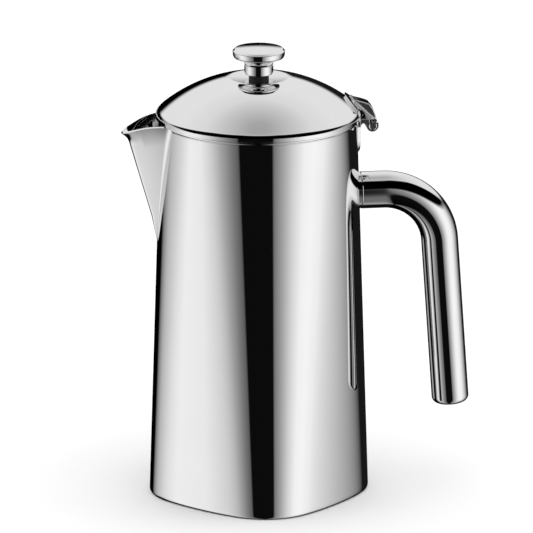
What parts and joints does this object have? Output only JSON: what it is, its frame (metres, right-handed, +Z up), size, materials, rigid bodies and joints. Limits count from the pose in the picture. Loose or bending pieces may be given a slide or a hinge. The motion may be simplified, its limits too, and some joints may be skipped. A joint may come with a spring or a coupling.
{
  "type": "french press",
  "caption": "Double-walled steel french press with a folded pouring spout, domed lift-off lid, free-ended tube handle and a rod plunger with a mesh filter.",
  "frame": {"origin": "centre of the foot, on the surface the press stands on", "axes": "+Z up along the plunger, -X towards the spout, +X towards the handle and hinge"},
  "size_m": [0.1763, 0.1098, 0.2281],
  "materials": {
    "polished_steel": "mirror-polished stainless steel",
    "satin_steel": "brushed stainless steel",
    "plunger_steel": "bright stainless steel",
    "screen_mesh": "fine woven wire cloth",
    "bushing_plastic": "moulded black nylon"
  },
  "bodies": {
    "pot": {"outer_shell": "polished_steel", "inner_vessel": "satin_steel", "base_plate": "satin_steel", "rim_ring": "polished_steel", "spout": "polished_steel", "handle_ferrule": "polished_steel", "handle_tube": "polished_steel", "handle_end_cap": "polished_steel", "handle_plug": "satin_steel", "handle_stud": "satin_steel", "hinge_bracket": "polished_steel"},
    "lid": {"lid_dome": "polished_steel", "lid_skirt": "satin_steel", "rod_bushing": "bushing_plastic", "hinge_leaf": "polished_steel", "hinge_pin": "polished_steel"},
    "plunger": {"plunger_rod": "plunger_steel", "rod_collar": "plunger_steel", "pressure_plate": "plunger_steel", "edge_spring": "plunger_steel", "mesh_screen": "screen_mesh", "cross_plate": "plunger_steel", "lock_nut": "plunger_steel"},
    "knob": {"knob": "polished_steel"}
  },
  "joints": [
    {"name": "lid_lift", "type": "slide", "parent": "pot", "child": "lid", "axis": [0, 0, 1], "range_m": [0, 0.2]},
    {"name": "plunger_slide", "type": "slide", "parent": "lid", "child": "plunger", "axis": [0, 0, 1], "range_m": [0, 0.16]},
    {"name": "knob_spin", "type": "hinge", "parent": "plunger", "child": "knob", "pos_m": [0, 0, 0.22], "axis": [0, 0, 1], "continuous": true}
  ]
}
